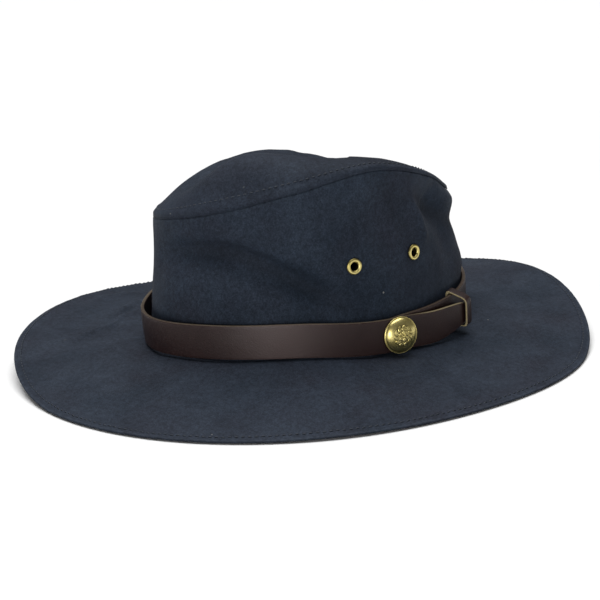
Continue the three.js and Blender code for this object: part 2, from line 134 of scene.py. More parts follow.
# The form round the hat, a value every 30 degrees, each a share of a named size
AROUND = {
    "foot": [0.645, 0.795, 0.82, 0.795, 0.895, 0.92, 0.745, 0.69, 0.76, 0.9, 0.85, 0.7],
    "rim": [0.3, 0.82, 0.74, 0.05, -0.1, 0.02, -0.02, -0.06, 0.58, 0.92, 0.4, -0.09],
    "wide": [0, 0, 0, 0, 0, 0, 0, 0.046, -0.034, 0, 0, 0],
    "seam": [0.696, 0.616, 0.625, 0.674, 0.746, 0.839, 0.906, 0.799, 0.634, 0.643, 0.661, 0.688],
    "shoulder": [0.777, 0.735, 0.77, 0.852, 0.964, 0.978, 0.933, 0.844, 0.728, 0.705, 0.714, 0.75],
    "middle": [0.812, 0.834, 0.858, 0.88, 0.92, 0.911, 0.866, 0.839, 0.79, 0.75, 0.768, 0.786],
    "off": [0.24, 0.1, 0.42, 1, 0.55, 0.15, 0.13, 0.85, 0.75, 0.75, 0.35, 0.2],
    "lift": [1, 0.2, 0, 0.75, 0.9, 0.8, 0.5, 1, 1, 1, 1, 1],
    "tuck": [0, 0.5, 1, 0.2, 0, 0, 0, 0, 0, 0, 0, 0],
    "lean": [0, 0, 0.6, 0.4, 0, 0, 0, 0, 0, 0, 0, 0],
}
AROUND = {name: np.array(values, float) for name, values in AROUND.items()}
CENTRE_SHARE = 0.821
SHOULDER_SHARE = 0.78
MIDDLE_SHARE = 0.4
FOLD_FADE = 0.25

# Broad folds of the wall: angle, height, spread and depth of each row, as in the solid model
FOLDS = {
    "long": [
        (88, 0.464, 0.7, 0.25), (104, 0.5, 0.9, 0.75), (124, 0.491, 0.9, 0.92),
        (142, 0.393, 0.9, 0.83), (158, 0.295, 0.9, 0.67), (174, 0.196, 0.9, 0.25),
    ],
    "belly": [(96, 0.286, 1.4, -0.17), (118, 0.304, 1.6, -0.42), (136, 0.232, 1.3, -0.25)],
    "side": [(179, 0.839, 0.9, 0.08), (181, 0.696, 1.1, 0.5), (184, 0.482, 1.2, 0.25)],
    "pinch": [
        (206, 0.714, 1, 0.33), (212, 0.643, 1.1, 1.17), (219, 0.5, 1.1, 0.83),
        (222, 0.339, 1, 0.17),
    ],
    "ridge": [(197, 0.679, 0.5, -0.17), (202, 0.518, 0.6, -0.33)],
    "left_pinch": [(330, 0.643, 1, 0.33), (322, 0.571, 1.2, 1.17), (318, 0.357, 1.2, 0.33)],
    "left_back": [(60, 0.446, 1.4, 0.5), (40, 0.375, 1.4, 0.17)],
    "brow": [(237, 0.1, 2.2, -0.4), (234, 0.5, 2.2, -0.4)],
    "hip": [(227, 0.26, 1.1, -0.25), (237, 0.25, 1.1, -0.45), (250, 0.24, 1.1, -0.25)],
}

# Sharper creases that lie on those folds: angle, height in mm, spread in mm and depth in mm
CREASES = {
    "long_under": [
        (88, 76, 5, 0.2), (107, 79, 5.5, 1.5), (120, 81, 5.5, 1.9), (130, 78, 5.5, 2),
        (137, 73.5, 5.5, 2), (143, 68.5, 5, 2), (150, 61, 5, 1.8), (157, 54, 5, 1.5),
        (166, 45.5, 5, 1), (178, 37, 5, 0.3),
    ],
    "long_over": [
        (92, 88, 6, -0.2), (110, 92, 6, -0.9), (128, 91, 6, -1.1), (142, 83, 6, -1),
        (152, 74, 6, -0.8), (164, 62, 6, -0.4),
    ],
    "hollow": [
        (183, 116, 6, 0.6), (187, 106, 7, 2.2), (190, 95, 7, 2.4), (193, 84, 6, 1.5),
        (196, 74, 6, 0.3),
    ],
    "edge": [(174, 116, 4, -0.3), (177, 104, 4.5, -0.8), (180, 93, 4.5, -0.7), (184, 82, 4, -0.2)],
    "streak": [
        (197, 106, 3.2, -0.3), (199.5, 95, 3.4, -1.3), (201, 85, 3.4, -1.3), (203, 76, 3.2, -0.3),
    ],
    "pinch_line": [
        (190, 106, 5, 0.2), (197, 101, 5, 1.2), (204, 96, 5.5, 1.9), (216, 87, 6, 2.3),
        (228, 77, 6.5, 2.6), (237, 74, 7, 2.2), (246, 72, 6, 0.8),
    ],
    "corner": [
        (212, 98, 5, -0.2), (222, 92, 5, -0.7), (232, 88, 6, -1.1), (240, 87, 6, -1.2),
        (250, 87, 5, -0.6),
    ],
    "corner_top": [
        (213, 108, 4, 0), (222, 102.5, 4.5, 0.8), (230, 97, 4.5, 1.2), (238, 92, 4.5, 0.9),
        (246, 90.5, 4, 0.3),
    ],
    "deep_fold": [
        (88, 79, 5.5, 0.4), (107, 83, 6, 2.2), (120, 84, 6, 2.6), (130, 82, 6, 2.6),
        (143, 72, 6, 2.3), (157, 60, 6, 1.5), (170, 50, 6, 0.4),
    ],
    "below_fold": [
        (94, 66, 7, -0.4), (111, 67, 7, -1.2), (125, 64, 7, -1.4), (143, 53, 7, -1),
        (155, 46, 7, -0.3),
    ],
}

# Soft lines on the top: x, y, spread and rise of each row, in mm
TIP_LINES = {
    "crest": [
        (-18, 66, 9, 0), (-26, 58, 10, -0.3), (-31, 50, 11, -1.1), (-38, 38, 12, -2),
        (-47, 24, 12, -2.7), (-52, 17, 11, -2.2), (-57, 12, 10, -0.7), (-59, 5, 9, 0.1),
        (-61, -4, 9, 0.6), (-63, -15, 9, 0.8), (-61, -30, 8, 0.2),
    ],
    "far": [
        (29, 46, 8, 0.4), (34, 31, 9, 1.8), (46, 14, 11, 2.8), (50, 4, 12, 3.4), (51, -13, 12, 4.1),
        (51, -25, 12, 3.9), (50, -38, 10, 1.6), (49, -50, 8, -0.8), (45, -62, 8, -0.8),
    ],
    "corner": [
        (-67, -38, 9, 0), (-61, -50, 9, -1.2), (-53, -61, 9, -1.8), (-43, -70, 9, -1.2),
        (-33, -76, 9, 0),
    ],
}

# Wrinkles of the brim at the back on the left: x, y, spread in mm and a share of BRIM_WRINKLE
BRIM_LINES = {
    "long": [(62, 136, 3, 0.2), (64, 121, 2.6, 0.8), (67, 109, 2.4, 0.9), (67, 97, 2.4, 0.5)],
    "beside": [(56, 128, 4, -0.2), (58, 112, 3.2, -0.7), (60, 99, 3, -0.6)],
    "back": [(93, 80, 3, 0.6), (102, 62, 3, 0.8), (106, 50, 3, 0.2)],
    "middle": [(66, 102, 2.4, 0.3), (78, 87, 2.4, 0.9), (80, 80, 2.4, 0.7), (86, 66, 2.4, 0.2)],
    "gully": [(74, 103, 3, -0.3), (85, 87, 3, -0.8), (92, 70, 3, -0.5)],
    "far": [(129, 76, 4, 0.4), (130, 59, 4, 0.6), (128, 47, 4, 0.3)],
    "near": [(24, 150, 5, 0.4), (31, 131, 4.5, 0.7), (33, 105, 4, 0.3)],
}

# Small relief that closes round the hat: ring radius, blob size, stretch across, seed and height
RING_RELIEF = {
    "wall_broad": (93, 46, 1, 3, 0.55),
    "wall_slack": (93, 17, 1.6, 5, 0.22),
    "wall_pucker": (93, 5.5, 4, 7, 0.28),
    "tip_pucker": (88, 6, 3.2, 11, 0.16),
    "brim_pucker": (175, 5, 3, 21, 0.3),
    "brim_radial": (120, 10, 5, 27, 0.3),
    "strap_waver": (93, 34, 1, 31, 0.12),
    "strap_rough": (93, 9, 1, 33, 0.08),
}

# Blobs of relief on the flat cloth: size, seed and height
TIP_BLOBS = [(42, 13, 0.6), (15, 15, 0.2)]
BRIM_BLOBS = [(55, 23, 0.7), (20, 25, 0.22)]

# How finely the surfaces are drawn
COARSE = 1
TURNS = 720 // COARSE
WALL_ROWS = 100 // COARSE
TIP_ROWS = 90 // COARSE
BRIM_ROWS = 84 // COARSE


def around(angle, column):
    """A value of the AROUND table at any angle, on a smooth closed curve through its rows."""
    values = AROUND[column]
    place = (np.asarray(angle, float) % 360) / 360 * len(values)
    row = np.floor(place).astype(int)
    part = place - row
    a, b, c, d = (values[(row + step) % len(values)] for step in (-1, 0, 1, 2))
    cubic = 3 * (b - c) + d - a
    return b + 0.5 * part * (c - a + part * (2 * a - 5 * b + 4 * c - d + part * cubic))


def smooth(value):
    value = np.clip(value, 0, 1)
    return value * value * (3 - 2 * value)


def bell(value, spread):
    """1 at zero, fading to both sides."""
    return np.exp(-((value / spread) ** 2))


def rounded_off(share):
    """Depth of a quarter round, from 0 to 1."""
    return 1 - np.sqrt(1 - share**2)


def oval(angle, length, width):
    """A point on an upright oval and its outward direction: x, y, out_x, out_y."""
    cos = np.cos(np.radians(angle))
    sin = np.sin(np.radians(angle))
    out_x = cos * length
    out_y = sin * width
    size = np.hypot(out_x, out_y)
    return cos * width / 2, sin * length / 2, out_x / size, out_y / size


def tuck_at(angle):
    """How far the crown is drawn in from its oval."""
    return CROWN_TUCK * around(angle, "tuck")


def foot_at(angle):
    return FOOT_HEIGHT * around(angle, "foot")


def over_datum(share):
    return FOOT_HEIGHT + CROWN_HEIGHT * share


def seam_at(angle):
    return over_datum(around(angle, "seam"))


def level_at(angle, z):
    """Share of the way from the foot of the wall to its seam."""
    return (z - foot_at(angle)) / (seam_at(angle) - foot_at(angle))


def outward_at(angle, extra=0.0):
    """Level unit vectors that point out of an oval wider than the head by extra."""
    out_x, out_y = oval(angle, HEAD_LENGTH + extra, HEAD_WIDTH + extra)[2:]
    return np.stack(np.broadcast_arrays(out_x, out_y, 0.0), -1)


def line_rise(points, rows, corners):
    """Height of a soft line through corners; each row ends with its spread and its rise."""
    highest = np.zeros(points.shape[:-1])
    for k, (first, second) in enumerate(zip(rows, rows[1:])):
        line = corners[k + 1] - corners[k]
        along = np.clip(((points - corners[k]) @ line) / (line @ line), 0, 1)
        away = ((points - corners[k] - along[..., None] * line) ** 2).sum(-1)
        spread = first[-2] + (second[-2] - first[-2]) * along
        rise = first[-1] + (second[-1] - first[-1]) * along
        here = rise * np.exp(-away / spread**2)
        highest = np.where(np.abs(here) > np.abs(highest), here, highest)
    return highest


def fold_push(angle, z):
    """How far the broad folds push a spot of the wall inward."""
    x, y, _, _ = oval(angle, HEAD_LENGTH, HEAD_WIDTH)
    spots = np.stack(np.broadcast_arrays(x, y, z), -1)
    push = np.zeros(spots.shape[:-1])
    for rows in FOLDS.values():
        corners = []
        for place, share, _, _ in rows:
            corners.append(np.array([*oval(place, HEAD_LENGTH, HEAD_WIDTH)[:2], over_datum(share)]))
        sizes = [(FOLD_SPREAD * spread, FOLD_DEPTH * depth) for _, _, spread, depth in rows]
        push += line_rise(spots, sizes, corners)
    return push


def wall_point(angle, level):
    """Outside of the crown's wall: level 0 is its foot and 1 the seam round the top."""
    angle, level = np.broadcast_arrays(angle, level)
    foot = foot_at(angle)
    z = foot + (seam_at(angle) - foot) * level
    length = HEAD_LENGTH - LENGTH_TAPER * level
    width = HEAD_WIDTH - WIDTH_TAPER * level
    x, y, out_x, out_y = oval(angle, length, width)
    push = tuck_at(angle) + fold_push(angle, z) * smooth(level / FOLD_FADE)
    return np.stack([x - push * out_x, y - push * out_y, z], -1)


def tip_point(angle, reach):
    """Underside of the top: reach 1 is its edge and 0 its middle."""
    angle, reach = np.broadcast_arrays(angle, reach)
    edge = wall_point(angle, 1.0)
    columns = [around(angle, name) for name in ("middle", "shoulder", "seam")]
    shares = [np.full(angle.shape, CENTRE_SHARE), *columns]
    places = [0, MIDDLE_SHARE**2, SHOULDER_SHARE**2, 1]
    share = 0
    for i, here in enumerate(places):
        weight = 1
        for j, other in enumerate(places):
            if j != i:
                weight = weight * (reach**2 - other) / (here - other)
        share = share + weight * shares[i]
    x = edge[..., 0] * reach
    y = edge[..., 1] * reach
    past = np.maximum(np.abs(y) - CREASE_LENGTH / 2, 0)
    crease = CREASE_DEPTH * np.exp(-(x**2 + past**2) / CREASE_SPREAD**2)
    z = over_datum(share) - crease * (1 - reach**6) + GAP
    return np.stack([x, y, z], -1)


def brim_point(angle, level):
    """Underside of the brim: level 0 is at the crown and 1 its edge."""
    angle, level = np.broadcast_arrays(angle, level)
    foot = foot_at(angle) - BRIM_THICKNESS
    rim = RIM_LIFT * around(angle, "rim")
    z = foot + (rim - foot) * level**BRIM_DROOP
    width = BRIM_WIDTH * (1 + around(angle, "wide"))
    inner = GAP - tuck_at(angle)
    reach = 2 * (inner + (width - inner) * level)
    x, y, _, _ = oval(angle, HEAD_LENGTH + reach, HEAD_WIDTH + reach)
    return np.stack([x, y, np.maximum(z, 0)], -1)


def crease_push(points):
    """How far the sharper creases push spots of the wall inward."""
    push = np.zeros(points.shape[:-1])
    for rows in CREASES.values():
        corners = [wall_point(angle, level_at(angle, z)) for angle, z, _, _ in rows]
        push += line_rise(points, rows, corners)
    return push


def flat_lines(points, table):
    """Rise of all the lines of a table whose rows start with x and y."""
    plan = points[..., :2]
    return sum(line_rise(plan, rows, [np.array(row[:2]) for row in rows]) for rows in table.values())


def noise(points, size, seed):
    """Smooth noise from -1 to 1, in blobs about as large as size."""
    place = np.asarray(points, float) / size + seed * np.array([17.31, 5.17, 9.73])
    cell = np.floor(place).astype(np.int64)
    part = place - cell
    ease = part**3 * (part * (part * 6 - 15) + 10)
    total = np.zeros(part.shape[:-1])
    for corner in np.ndindex(2, 2, 2):
        at = cell + corner
        mixed = (at[..., 0] * 73856093) ^ (at[..., 1] * 19349663) ^ (at[..., 2] * 83492791)
        mixed = ((mixed ^ (mixed >> 13)) * 1274126177) & 0x7FFFFFFF
        weight = np.prod(np.where(np.array(corner) == 1, ease, 1 - ease), axis=-1)
        total += weight * ((mixed % 65536) / 32768 - 1)
    return total


def ring_relief(name, angle, across):
    """A layer of the RING_RELIEF table at an angle and a distance across the ring."""
    radius, size, stretch, seed, height = RING_RELIEF[name]
    turn = np.radians(angle)
    place = [radius * np.cos(turn), radius * np.sin(turn), across / stretch]
    return height * noise(np.stack(np.broadcast_arrays(*place), -1), size, seed)


def blobs(points, layers):
    """The sum of some layers of size, seed and height."""
    return sum(noise(points, size, seed) * height for size, seed, height in layers)


def normals(points, sign):
    """Unit normals of a grid of points that is closed in its first direction."""
    along = np.roll(points, -1, 0) - np.roll(points, 1, 0)
    across = np.gradient(points, axis=1)
    normal = np.cross(along, across) * sign
    return normal / (np.linalg.norm(normal, axis=-1, keepdims=True) + 1e-12)


def ring_faces(rows, columns, close_columns):
    """Quads of a grid closed in its first direction, and the grid place of every corner."""
    i = np.repeat(np.arange(rows), columns if close_columns else columns - 1)
    j = np.tile(np.arange(columns if close_columns else columns - 1), rows)
    corners = [(i, j), (i + 1, j), (i + 1, j + 1), (i, j + 1)]
    faces = np.stack([(a % rows) * columns + b % columns for a, b in corners], -1)
    places = np.stack([np.stack([a, b], -1) for a, b in corners], 1)
    return faces, places


def add_object(name, data):
    made = bpy.data.objects.new(name, data)
    bpy.context.scene.collection.objects.link(made)
    return made


def add_piece(name, points, faces, material, values=None, uv=None, stands_for=()):
    """A smooth mesh from points in millimetres that rides on the hat."""
    mesh = bpy.data.meshes.new(name)
    mesh.from_pydata((np.asarray(points).reshape(-1, 3) * MM).tolist(), [], [list(f) for f in faces])
    for label, array in (values or {}).items():
        attribute = mesh.attributes.new(label, "FLOAT", "POINT")
        attribute.data.foreach_set("value", np.asarray(array, np.float32).ravel())
    if uv is not None:
        layer = mesh.uv_layers.new(name="cloth")
        layer.data.foreach_set("uv", np.asarray(uv, np.float32).ravel())
    turned = bmesh.new()
    turned.from_mesh(mesh)
    bmesh.ops.recalc_face_normals(turned, faces=turned.faces)
    turned.to_mesh(mesh)
    turned.free()
    mesh.polygons.foreach_set("use_smooth", [True] * len(mesh.polygons))
    mesh.materials.append(material)
    mesh.update()
    piece = add_object(name, mesh)
    if stands_for:
        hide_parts(*stands_for)
    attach(piece, "root")


# Shader nodes
class Shader:
    """A new node material and short ways to add its nodes."""

    def __init__(self, name):
        self.material = bpy.data.materials.new(name)
        self.material.use_nodes = True
        self.tree = self.material.node_tree
        self.tree.nodes.clear()
        self.output = self.tree.nodes.new("ShaderNodeOutputMaterial")
        self.body = self.tree.nodes.new("ShaderNodeBsdfPrincipled")
        self.link(self.body.outputs[0], self.output.inputs["Surface"])

    def link(self, source, target):
        self.tree.links.new(source, target)

    def put(self, socket, value):
        if isinstance(value, bpy.types.NodeSocket):
            self.link(value, socket)
        else:
            socket.default_value = value

    def node(self, kind, inputs=None, **settings):
        made = self.tree.nodes.new(kind)
        for key, value in settings.items():
            setattr(made, key, value)
        for key, value in (inputs or {}).items():
            self.put(made.inputs[key], value)
        return made

    def math(self, operation, first, second=0.0, third=0.0):
        made = self.node("ShaderNodeMath", {0: first, 1: second, 2: third}, operation=operation)
        return made.outputs[0]

    def spread(self, value, low, high, to_low=0.0, to_high=1.0):
        made = self.node("ShaderNodeMapRange", {0: value, 1: low, 2: high, 3: to_low, 4: to_high})
        return made.outputs[0]

    def mix(self, share, first, second, blend="MIX"):
        made = self.node("ShaderNodeMix", data_type="RGBA", blend_type=blend)
        self.put(made.inputs["Factor"], share)
        self.put(made.inputs["A"], first)
        self.put(made.inputs["B"], second)
        return made.outputs["Result"]

    def noise(self, vector, scale, detail=2.0, roughness=0.5, distortion=0.0):
        inputs = {"Vector": vector, "Scale": scale, "Detail": detail}
        inputs |= {"Roughness": roughness, "Distortion": distortion}
        return self.node("ShaderNodeTexNoise", inputs).outputs["Fac"]

    def value(self, name):
        return self.node("ShaderNodeAttribute", attribute_name=name).outputs["Fac"]

    def coordinates(self, stretch=(1, 1, 1)):
        """Object coordinates in millimetres."""
        place = self.node("ShaderNodeTexCoord").outputs["Object"]
        scale = [1000.0 * factor for factor in stretch]
        made = self.node("ShaderNodeMapping", {"Vector": place, "Scale": scale})
        return made.outputs[0]

    def bump(self, height, distance, strength=1.0, normal=None):
        inputs = {"Height": height, "Distance": distance, "Strength": strength}
        made = self.node("ShaderNodeBump", inputs)
        if normal is not None:
            self.link(normal, made.inputs["Normal"])
        return made.outputs[0]

    def finish(self, **values):
        for key, value in values.items():
            self.put(self.body.inputs[key.replace("_", " ")], value)
        return self.material


def srgb(red, green, blue):
    """A colour given in screen values from 0 to 255."""
    shares = [value / 255 for value in (red, green, blue)]
    linear = [s / 12.92 if s <= 0.04045 else ((s + 0.055) / 1.055) ** 2.4 for s in shares]
    return (*linear, 1.0)


# Lint and scuffs on the cloth: x, y, z, size in mm and strength
SPECKS = [
    (-82.3, -0.9, 50.4, 0.8, 0.9), (-71, -88, 12.9, 0.7, 0.8), (-105, 131.5, 3, 0.7, 0.5),
    (-47.6, 68.3, 118, 0.7, 0.22), (-49.6, 64, 120.9, 0.6, 0.2), (-54.7, 55.3, 124, 0.7, 0.22),
    (-58.5, 49.3, 124.7, 0.7, 0.25), (-6.8, 93.4, 99.9, 0.7, 0.5), (63, 134, 15, 1.4, 0.25),
    (65, 121, 15.7, 1.2, 0.2),
]


def cloth_material(name, from_uv, tone):
    """Navy waxed cotton: a fine plain weave, blotches of wax, paler rubbed places, a painted
    highlight and painted shade.
    """
    s = Shader(name)
    place = s.coordinates()
    weave_place = s.node("ShaderNodeUVMap", uv_map="cloth").outputs[0] if from_uv else place
    waver = s.noise(place, 0.12, 3.0)
    parts = s.node("ShaderNodeSeparateXYZ", {0: weave_place})
    pitch = 2 * math.pi / WEAVE_PITCH
    threads = []
    for axis in (0, 1):
        turned = s.math("MULTIPLY_ADD", parts.outputs[axis], pitch, s.math("MULTIPLY", waver, 9.0))
        threads.append(s.math("SINE", turned))
    weave = s.math("MULTIPLY", threads[0], threads[1])
    slub = s.noise(place, 1.1, 3.0, 0.6)
    grain = s.noise(place, 3.2, 2.0, 0.6)
    mottle = s.noise(place, 0.4, 4.0, 0.72)
    blotch = s.noise(place, 0.035, 4.0, 0.6, 0.4)
    patch = s.noise(place, 0.014, 3.0, 0.55)
    wear_and_painted_light = s.value("wear_and_painted_light")
    navy = s.mix(s.spread(patch, 0.38, 0.62), srgb(35, 42, 52), srgb(41, 43, 52))
    navy = s.mix(s.spread(blotch, 0.35, 0.7), navy, srgb(45, 52, 63))
    navy = s.mix(1.0, navy, (*tone, 1.0), "MULTIPLY")
    shade = s.spread(slub, 0.32, 0.68, 0.74, 1.28)
    layers = [(grain, 0.3, 0.7, 0.8, 1.2), (mottle, 0.34, 0.66, 0.74, 1.28)]
    for layer in [*layers, (weave, -1.0, 1.0, 0.94, 1.05)]:
        shade = s.math("MULTIPLY", shade, s.spread(*layer))
    grey = s.node("ShaderNodeCombineColor", {0: shade, 1: shade, 2: shade}).outputs[0]
    colour = s.mix(1.0, navy, grey, "MULTIPLY")
    # Above zero the attribute gives rubbed wear and, along the top's seam, a painted highlight;
    # below zero it gives painted shade.
    wear_and_painted_highlight = s.math("MULTIPLY", wear_and_painted_light, s.spread(s.noise(place, 0.4, 4.0, 0.65), 0.35, 0.7))
    colour = s.mix(wear_and_painted_highlight, colour, srgb(70, 78, 90))
    # Painted shade: a near-black navy laid where the attribute is below zero, in creases, under the
    # brim's edge and on part of the top.
    painted_shade = s.spread(wear_and_painted_light, -1.0, 0.0, 0.8, 0.0)
    colour = s.mix(painted_shade, colour, srgb(14, 16, 21))
    for x, y, z, size, strength in SPECKS:
        away = s.node("ShaderNodeVectorMath", {0: place, 1: (x, y, z)}, operation="DISTANCE")
        ragged = s.math("MULTIPLY_ADD", s.noise(place, 1.5, 2.0), size * 1.6, away.outputs["Value"])
        speck = s.spread(ragged, size * 1.1, size * 1.7, strength, 0.0)
        colour = s.mix(speck, colour, srgb(150, 150, 146))
    fine = s.bump(s.math("MULTIPLY_ADD", weave, 0.35, slub), 0.00022, 0.5)
    soft = s.bump(s.noise(place, 0.09, 4.0, 0.55), 0.0012, 0.35, fine)
    return s.finish(
        Base_Color=colour,
        Roughness=s.spread(blotch, 0.3, 0.7, 0.78, 0.66),
        Specular_IOR_Level=0.12,
        Sheen_Weight=0.03,
        Sheen_Roughness=0.5,
        Sheen_Tint=srgb(150, 165, 190),
        Normal=soft,
    )


def thread_material():
    """Waxed sewing thread with a twist in it."""
    s = Shader("navy_thread")
    place = s.coordinates()
    tone = s.mix(s.noise(place, 0.8, 2.0), srgb(33, 39, 48), srgb(47, 54, 64))
    twist = s.bump(s.noise(place, 6.0, 1.0), 0.0001, 0.6)
    return s.finish(Base_Color=tone, Roughness=0.5, Specular_IOR_Level=0.4, Normal=twist)


def leather_material():
    """Dark brown leather with a satin grain, pale cut edges and a painted highlight on the strap's
    face.
    """
    s = Shader("dark_leather")
    place = s.coordinates()
    cells = s.node("ShaderNodeTexVoronoi", {"Vector": place, "Scale": 1.25}, feature="SMOOTH_F1")
    pebble = cells.outputs["Distance"]
    cloud = s.noise(place, 0.05, 4.0, 0.6)
    fleck = s.noise(place, 1.6, 3.0, 0.6)
    face = s.mix(s.spread(cloud, 0.3, 0.7), srgb(36, 19, 18), srgb(45, 27, 25))
    face = s.mix(s.spread(fleck, 0.45, 0.8, 0.0, 0.35), face, srgb(22, 15, 15))
    wear_and_painted_highlight = s.math("MULTIPLY", s.value("wear_and_painted_light"), s.spread(s.noise(place, 0.5, 4.0), 0.4, 0.65))
    face = s.mix(wear_and_painted_highlight, face, srgb(62, 46, 42))
    # Painted highlight: a lighter patch on the strap's face in place of the front lamp's glint.
    face = s.mix(s.value("painted_highlight"), face, srgb(84, 70, 68))
    fibre = s.noise(place, 2.2, 3.0, 0.7)
    cut = s.mix(s.spread(fibre, 0.3, 0.7), srgb(132, 118, 86), srgb(194, 180, 138))
    colour = s.mix(s.value("cut"), face, cut)
    height = s.math("MULTIPLY_ADD", pebble, -0.7, s.math("MULTIPLY", fleck, 0.5))
    grain = s.bump(height, 0.00025, 0.45)
    return s.finish(
        Base_Color=colour,
        Roughness=s.spread(fleck, 0.3, 0.8, 0.4, 0.5),
        Specular_IOR_Level=0.32,
        Normal=grain,
    )


def brass_material(name, polish):
    """Brass with dark recesses, painted shade round the eyelets' outer edge, fine scratches and a
    little tarnish.
    """
    s = Shader(name)
    place = s.coordinates()
    cloud = s.noise(place, 0.25, 4.0, 0.6)
    scratches = s.noise(s.coordinates((1, 1, 9)), 1.4, 3.0, 0.7)
    bright = s.mix(s.spread(cloud, 0.3, 0.7), srgb(216, 198, 118), srgb(236, 220, 150))
    colour = s.mix(s.value("patina_and_painted_shade"), bright, srgb(84, 70, 28))
    return s.finish(
        Base_Color=colour,
        Metallic=1.0,
        Roughness=s.spread(scratches, 0.3, 0.75, polish, polish + 0.14),
        Normal=s.bump(scratches, 0.00008, 0.25),
    )


CLOTH_WALL = cloth_material("waxed_cotton_wall", True, (0.9, 0.97, 1.02))
CLOTH_FLAT = cloth_material("waxed_cotton", False, (0.94, 0.96, 0.99))
THREAD = thread_material()
LEATHER = leather_material()
BRASS = brass_material("brass_eyelet", 0.3)
BUTTON_BRASS = brass_material("brass_button", 0.26)

ANGLES = (np.arange(TURNS) * 360 / TURNS)[:, None]

# Middle of every eyelet's node
EYELETS = {
    name: np.mean(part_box(name), axis=0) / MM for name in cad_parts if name.startswith("eyelet")
}


def eyelet_frame(name):
    """An eyelet's place on the wall's outside and its outward direction."""
    middle = EYELETS[name]
    lean = np.degrees(np.arcsin(2 * middle[1] / (HEAD_LENGTH - LENGTH_TAPER / 2)))
    angle = lean if middle[0] > 0 else 180 - lean
    level = level_at(angle, middle[2])
    sideways = wall_point(angle + 3, level) - wall_point(angle - 3, level)
    upward = wall_point(angle, level + 0.04) - wall_point(angle, level - 0.04)
    out = np.cross(sideways, upward)
    return wall_point(angle, level), out / np.linalg.norm(out)


def wall_relief(level, z):
    """Small wrinkles of the wall, outward, and its puckers below the seam."""
    below = seam_at(ANGLES) - z
    wrinkles = ring_relief("wall_broad", ANGLES, z) + ring_relief("wall_slack", ANGLES, z)
    pucker = ring_relief("wall_pucker", ANGLES, z) * bell(below, 7)
    return wrinkles * smooth(level / 0.2) * smooth(below / SEAM_FADE) + pucker


def build_wall():
    levels = np.linspace(0, 1, WALL_ROWS)[None, :]
    outer = wall_point(ANGLES, levels)
    out = outward_at(ANGLES)
    crease = crease_push(outer)
    relief = wall_relief(levels, outer[..., 2]) - crease
    below = seam_at(ANGLES) - outer[..., 2]
    inset = 0.5 * seam_height() * rounded_off(np.clip(1 - below / SEAM_ROLL, 0, 1))
    near_seam = bell(below, SEAM_FADE)[..., None]
    pushed_along = normals(outer, 1) * (1 - near_seam) + out * near_seam
    outer = outer + pushed_along * relief[..., None] - out * inset[..., None]
    foot = outer[:, :1] - [0, 0, BRIM_THICKNESS]
    inner = (outer - out * CLOTH)[:, ::-4]
    section = np.concatenate([foot, outer, inner, foot - out * CLOTH], 1)
    faces, places = ring_faces(TURNS, section.shape[1], True)
    middles = section.reshape(-1, 3)[faces].mean(1)
    keep = np.ones(len(faces), bool)
    for name in EYELETS:
        point, direction = eyelet_frame(name)
        away = middles - point
        along = away @ direction
        radius = np.linalg.norm(away - along[:, None] * direction, axis=1)
        keep &= (radius >= EYELET_OPENING) | (np.abs(along) >= EYELET_REACH)
    lengths = np.linalg.norm(np.diff(section, axis=1), axis=-1).mean(0)
    across = np.concatenate([[0], np.cumsum(lengths), [0]])
    around_mm = np.arange(TURNS + 1) / TURNS * math.pi * (HEAD_LENGTH + HEAD_WIDTH) / 2
    uv = np.stack([around_mm[places[keep][..., 0]], across[places[keep][..., 1]]], -1)
    below = seam_at(ANGLES) - outer[..., 2]
    # Rubbed wear just under the seam; painted shade darkens the cloth along the creases.
    wear_and_painted_light = bell(below, 1.2) * 0.3 - 0.34 * smooth(crease / 2.4)
    wear_and_painted_light = np.concatenate([wear_and_painted_light[:, :1], wear_and_painted_light, wear_and_painted_light[:, ::-4], wear_and_painted_light[:, :1]], 1)
    values = {"wear_and_painted_light": wear_and_painted_light}
    add_piece("crown_wall", section, faces[keep], CLOTH_WALL, values, uv, ["crown_side"])


def tip_surface(reach):
    """Plain top of the crown's cloth, and how far each spot is inward from its edge."""
    under = tip_point(ANGLES, reach)
    inner = tip_point(ANGLES, reach - 0.02)
    run = np.hypot(under[..., 0] - inner[..., 0], under[..., 1] - inner[..., 1])
    slope = np.clip((inner[..., 2] - under[..., 2]) / run, -1.2, 1.2)
    top = under.copy()
    top[..., 2] += CLOTH * (1 + (np.hypot(1, slope) - 1) * smooth(reach / 0.4))
    edge = wall_point(ANGLES, 1.0)
    radius = np.hypot(edge[..., 0], edge[..., 1])
    inward = (1 - reach) * radius * np.hypot(1, slope)
    return top, inward


def seam_height():
    """Share of the seam's relief round the crown: faint at the wearer's back, full on the right."""
    return 0.35 + 0.65 * smooth((ANGLES - 118) / 34) * smooth((330 - ANGLES) / 40)


def tip_relief(inward, top):
    """Relief of the top: the band outside its topstitching, puckers, wrinkles and soft lines."""
    band = 0.12 * smooth((TIP_STITCH + 2.0 - inward) / 2.5)
    groove = -0.16 * bell(inward - TIP_STITCH, 0.6)
    pucker = ring_relief("tip_pucker", ANGLES, inward) * bell(inward, 8)
    seam = (band + groove + pucker) * seam_height()
    wrinkles = blobs(top, TIP_BLOBS) + flat_lines(top, TIP_LINES)
    return seam + wrinkles * smooth(inward / SEAM_FADE)


